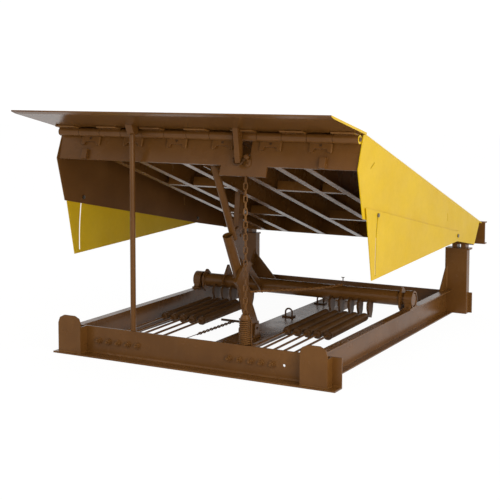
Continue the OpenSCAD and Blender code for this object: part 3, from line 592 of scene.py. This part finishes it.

# Grease holes in the hinge leaves: rims closed by dark paint discs, a painted shade for the inside of each
# hole
LEAF_T, BARREL_N, BARREL_GAP, HOLE_DEEP = 0.016, 13, 0.003, 0.084
row_lo, row_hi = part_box("lip_barrels")
barrel_w = (row_hi.x - row_lo.x + BARREL_GAP) / BARREL_N
barrel_x = [row_lo.x - BARREL_GAP / 2 + (i + 0.5) * barrel_w for i in range(BARREL_N)]
deck_barrel_x, lip_barrel_x = barrel_x[1::2], barrel_x[0::2]
m = Mesh()
rim = [(0, 0.009), (0.0015, 0.0085), (0.0015, 0.006), (0.0003, 0.0055)]
for x in deck_barrel_x:
    m.lathe(deck_edge + deck_front * LEAF_T - deck_up * HOLE_DEEP + X * x, deck_front, rim, 16)
LIP_RISE, LIP_T, LEAF_DEEP, HOLE_OUT = math.radians(12.7), 0.014, 0.012, 0.072
lip_out = Vector((0, -math.cos(LIP_RISE), math.sin(LIP_RISE)))
lip_up = Vector((0, math.sin(LIP_RISE), math.cos(LIP_RISE)))
for x in lip_barrel_x:
    m.lathe(deck_edge + X * x + lip_out * HOLE_OUT - lip_up * (LIP_T + LEAF_DEEP), -lip_up, rim, 16)
m.piece("leaf_holes", dark_mat, "dark_paint")

# Weld beads, in a lighter brown that paints a highlight on them
m = Mesh()
KEEPER_W, GUSSET_L, GUSSET_H, COLLAR_IN, FOOT_L = 0.172, 0.150, 0.172, 0.090, 0.101
RING_R, FOOT_R, LIFT = 0.0045, 0.004, 0.002
keep_lo, keep_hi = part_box("lip_keepers")
angle_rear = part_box("front_angle")[1].y
gus_lo, gus_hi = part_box("post_gussets")
for side in (-1, 1):
    middle_x = side * (keep_hi.x - KEEPER_W / 2)
    left, right = middle_x - KEEPER_W / 2, middle_x + KEEPER_W / 2
    foot, front = keep_lo.z + LIFT, keep_lo.z + LIFT / 2
    for x in (left, right):
        m.bead(Vector((x, keep_lo.y + 0.006, foot)), Vector((x, keep_hi.y - 0.004, foot)))
    m.bead(Vector((left, keep_lo.y, front)), Vector((right, keep_lo.y, front)))
    corner = Vector((side * channel_out, angle_rear + LIFT / 2, 0))
    m.bead(corner + Z * 0.012, corner + Z * (channel_top - 0.006))
    x, post_y, seam = side * gus_hi.x, gus_lo.y + GUSSET_L, channel_top + LIFT / 2
    m.bead(Vector((x, gus_lo.y + 0.012, seam)), Vector((x, post_y - 0.003, seam)))
    m.bead(Vector((x, post_y, channel_top + 0.004)), Vector((x, post_y, channel_top + GUSSET_H)))
    ring = []
    end = side * (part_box("torque_tube")[1].x - COLLAR_IN)
    for i in range(48):
        a = 2 * math.pi * i / 48
        ring.append(Vector((end, tube_c.y + TUBE_R * math.cos(a), tube_c.z + TUBE_R * math.sin(a))))
    m.tube(ring, RING_R, 6, True)
found_lo, found_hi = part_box("lift_foot")
near, far, foot = found_lo.y, found_lo.y + FOOT_L, found_lo.z + LIFT
for y in (near, far):
    m.bead(Vector((found_lo.x, y, foot)), Vector((found_hi.x, y, foot)), FOOT_R)
for x in (found_lo.x, found_hi.x):
    m.bead(Vector((x, near, foot)), Vector((x, far, foot)), FOOT_R)
# Beads on the leaves of the deck barrels on the header and of the lip barrels under the lip; their lighter
# brown is a painted highlight on the lit leaf edges
DECK_LEAF, LIP_LEAF, LEAF_R = barrel_w / 2 - 0.0155, barrel_w / 2 - 0.0075, 0.006
LEG_OUT, LEG_FRONT, LEG_TOP, LEG_END, LEG_R = 0.001, 0.010, 0.064, 0.126, 0.0065
for x in deck_barrel_x:
    for side in (-1, 1):
        a = deck_edge + X * (x + side * (DECK_LEAF + LEG_OUT)) + deck_front * LEG_FRONT
        m.bead(a - deck_up * LEG_TOP, a - deck_up * LEG_END, LEG_R)
LEAF_NEAR, LEAF_FAR, LEAF_MID = 0.046, 0.104, LIP_T + 0.006
for x in lip_barrel_x:
    root = deck_edge + X * x - lip_up * LEAF_MID
    left, right = root - X * LIP_LEAF, root + X * LIP_LEAF
    m.bead(left + lip_out * LEAF_FAR, right + lip_out * LEAF_FAR, LEAF_R)
    for edge in (left, right):
        m.bead(edge + lip_out * LEAF_FAR, edge + lip_out * LEAF_NEAR, LEAF_R)
m.piece("weld_beads", weld_highlight_mat, "frame_paint")

# Floor, backdrop and light
WHITE, FLOOR_SEEN, WORLD_LEVEL = 1.04, 0.92, 0.66
FLOOR, DROP = 30.0, -0.0005
floor_mesh = bpy.data.meshes.new("floor")
corners = [(-FLOOR, -FLOOR, DROP), (FLOOR, -FLOOR, DROP), (FLOOR, FLOOR, DROP), (-FLOOR, FLOOR, DROP)]
floor_mesh.from_pydata(corners, [], [(0, 1, 2, 3)])
floor = bpy.data.objects.new("floor", floor_mesh)
scene.collection.objects.link(floor)
fm = Nodes("pale_floor")
fm.tree.nodes.remove(fm.bsdf)
diffuse = fm.new("ShaderNodeBsdfDiffuse")
diffuse.inputs["Color"].default_value = (0.86, 0.86, 0.86, 1.0)
glow = fm.new("ShaderNodeEmission")
glow.inputs["Color"].default_value = (1.0, 1.0, 1.0, 1.0)
glow.inputs["Strength"].default_value = WHITE
path = fm.new("ShaderNodeLightPath")
seen = fm.math("MAXIMUM", path.outputs["Is Camera Ray"],
               fm.math("MAXIMUM", path.outputs["Is Glossy Ray"], path.outputs["Is Transmission Ray"]))
mixer = fm.new("ShaderNodeMixShader")
fm.link(fm.math("MULTIPLY", seen, FLOOR_SEEN), mixer.inputs[0])
fm.link(diffuse.outputs[0], mixer.inputs[1])
fm.link(glow.outputs[0], mixer.inputs[2])
fm.link(mixer.outputs[0], fm.tree.nodes["Material Output"].inputs["Surface"])
floor_mesh.materials.append(fm.mat)

world = bpy.data.worlds.new("studio")
scene.world = world
world.use_nodes = True
wt = world.node_tree
bg = wt.nodes["Background"]
bg.inputs["Color"].default_value = (1.0, 1.0, 1.0, 1.0)
wpath = wt.nodes.new("ShaderNodeLightPath")
seen = wpath.outputs["Is Camera Ray"]
for kind in ("Is Glossy Ray", "Is Transmission Ray"):
    either = wt.nodes.new("ShaderNodeMath")
    either.operation = "MAXIMUM"
    wt.links.new(seen, either.inputs[0])
    wt.links.new(wpath.outputs[kind], either.inputs[1])
    seen = either.outputs[0]
level = wt.nodes.new("ShaderNodeMapRange")
level.inputs["To Min"].default_value = WORLD_LEVEL
level.inputs["To Max"].default_value = WHITE
wt.links.new(seen, level.inputs["Value"])
wt.links.new(level.outputs["Result"], bg.inputs["Strength"])


def lamp(name, loc, target, size, power, colour):
    """A square area lamp aimed at a point."""
    light = bpy.data.lights.new(name, "AREA")
    light.shape = "SQUARE"
    light.size = size
    light.energy = power
    light.color = colour
    obj = bpy.data.objects.new(name, light)
    obj.location = loc
    obj.rotation_euler = (Vector(target) - Vector(loc)).to_track_quat("-Z", "Y").to_euler()
    scene.collection.objects.link(obj)


lamp("key", (7.5, -2.0, 4.5), (0.0, 1.0, 0.6), 4.0, 228.0, (1.0, 0.93, 0.78))
lamp("low", (5.5, -4.5, 0.9), (-0.6, 0.8, 0.7), 3.0, 185.0, (1.0, 0.90, 0.72))
lamp("fill", (-3.0, -7.0, 3.5), (0.0, 1.0, 0.6), 5.0, 42.0, (0.92, 0.97, 1.0))

scene.view_settings.view_transform = "Standard"
